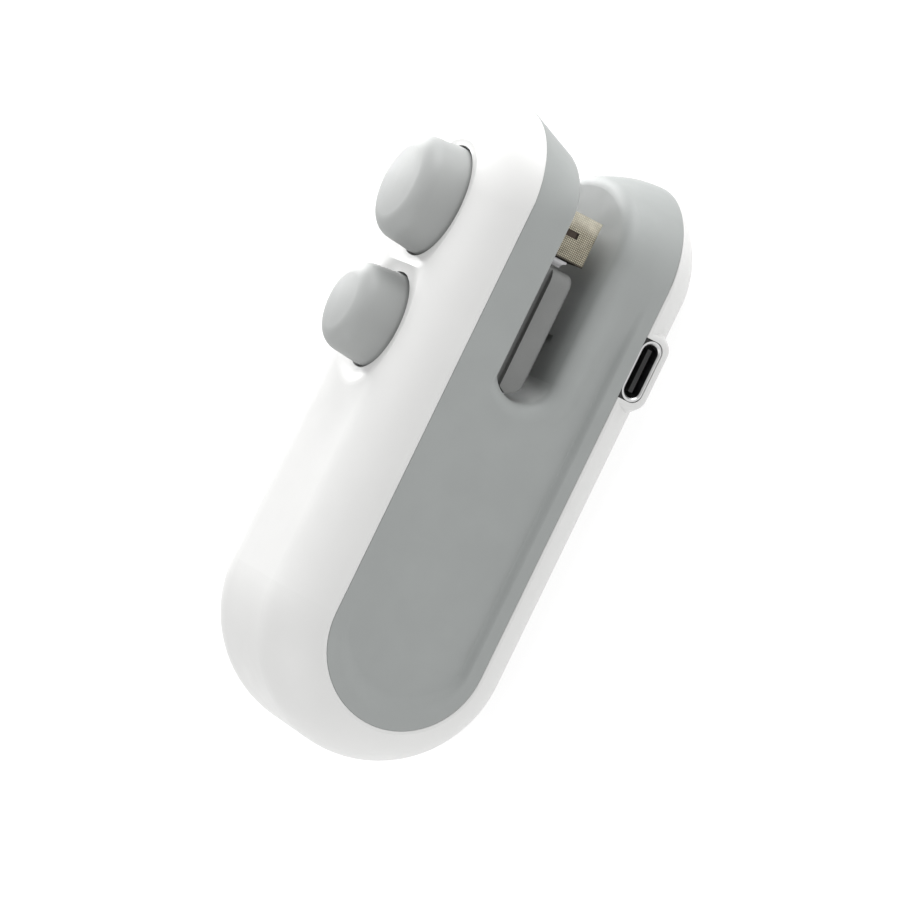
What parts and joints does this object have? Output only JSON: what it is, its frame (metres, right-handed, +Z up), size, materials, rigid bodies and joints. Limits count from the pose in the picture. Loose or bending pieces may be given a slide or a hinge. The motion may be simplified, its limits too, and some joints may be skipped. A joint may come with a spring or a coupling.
{
  "type": "bag heat sealer",
  "caption": "Pocket bag heat sealer and cutter: rounded body with a slotted mouth, two push buttons on top, a cloth-covered heater bar and a charging port.",
  "frame": {"origin": "centre of the body's footprint, on the surface that it rests on", "axes": "+X from the round butt to the mouth, +Z up through the two buttons, charging port on the -Y side"},
  "size_m": [0.0964, 0.0364, 0.0449],
  "materials": {
    "shell_white": "satin moulded white",
    "core_grey": "matt moulded grey",
    "button_grey": "matt moulded grey, slightly lighter",
    "carrier_grey": "matt grey",
    "pad_silicone": "matt silicone",
    "heater_ceramic": "dark ceramic",
    "ptfe_cloth": "PTFE-coated glass cloth, plain weave",
    "heating_wire": "heat-tinted resistance ribbon",
    "clip_metal": "bright sheet",
    "steel": "bright steel",
    "blade_steel": "ground steel",
    "contact_brass": "bright brass",
    "nickel": "nickel strip",
    "socket_metal": "bright plated shell",
    "port_black": "black moulding",
    "cell_wrap": "blue heat-shrink wrap",
    "board_green": "green solder resist",
    "chip_black": "black package",
    "capacitor_tan": "tan ceramic",
    "lead_red": "red insulation"
  },
  "bodies": {
    "housing": {"outer_shell": "shell_white", "core_half_near": "core_grey", "core_half_far": "core_grey", "silicone_pad": "pad_silicone", "fixed_contacts": "contact_brass", "usb_socket_shell": "socket_metal", "usb_tongue": "port_black", "port_bezel": "port_black", "battery_cell": "cell_wrap", "battery_tabs": "nickel", "main_board": "board_green", "charge_controller": "chip_black", "heater_driver": "chip_black", "inductor": "chip_black", "capacitors": "capacitor_tan", "battery_leads": "lead_red", "core_screws": "steel"},
    "seal_plunger": {"seal_button": "button_grey", "seal_rod": "steel", "heater_carrier": "carrier_grey", "heater_block": "heater_ceramic", "heating_wire": "heating_wire", "ptfe_cloth": "ptfe_cloth", "heater_clip": "clip_metal", "moving_contacts": "contact_brass", "seal_spring": "steel"},
    "cut_plunger": {"cut_button": "button_grey", "cut_rod": "steel", "blade_carrier": "carrier_grey", "cutting_blade": "blade_steel", "cut_spring": "steel"}
  },
  "joints": [
    {"name": "seal_press", "type": "slide", "parent": "housing", "child": "seal_plunger", "axis": [0, 0, -1], "range_m": [0, 0.0022], "stiffness_N_per_m": 500, "springref_m": -0.004, "deforming": ["seal_spring"]},
    {"name": "cut_press", "type": "slide", "parent": "housing", "child": "cut_plunger", "axis": [0, 0, -1], "range_m": [0, 0.0026], "stiffness_N_per_m": 400, "springref_m": -0.004, "deforming": ["cut_spring"]}
  ]
}
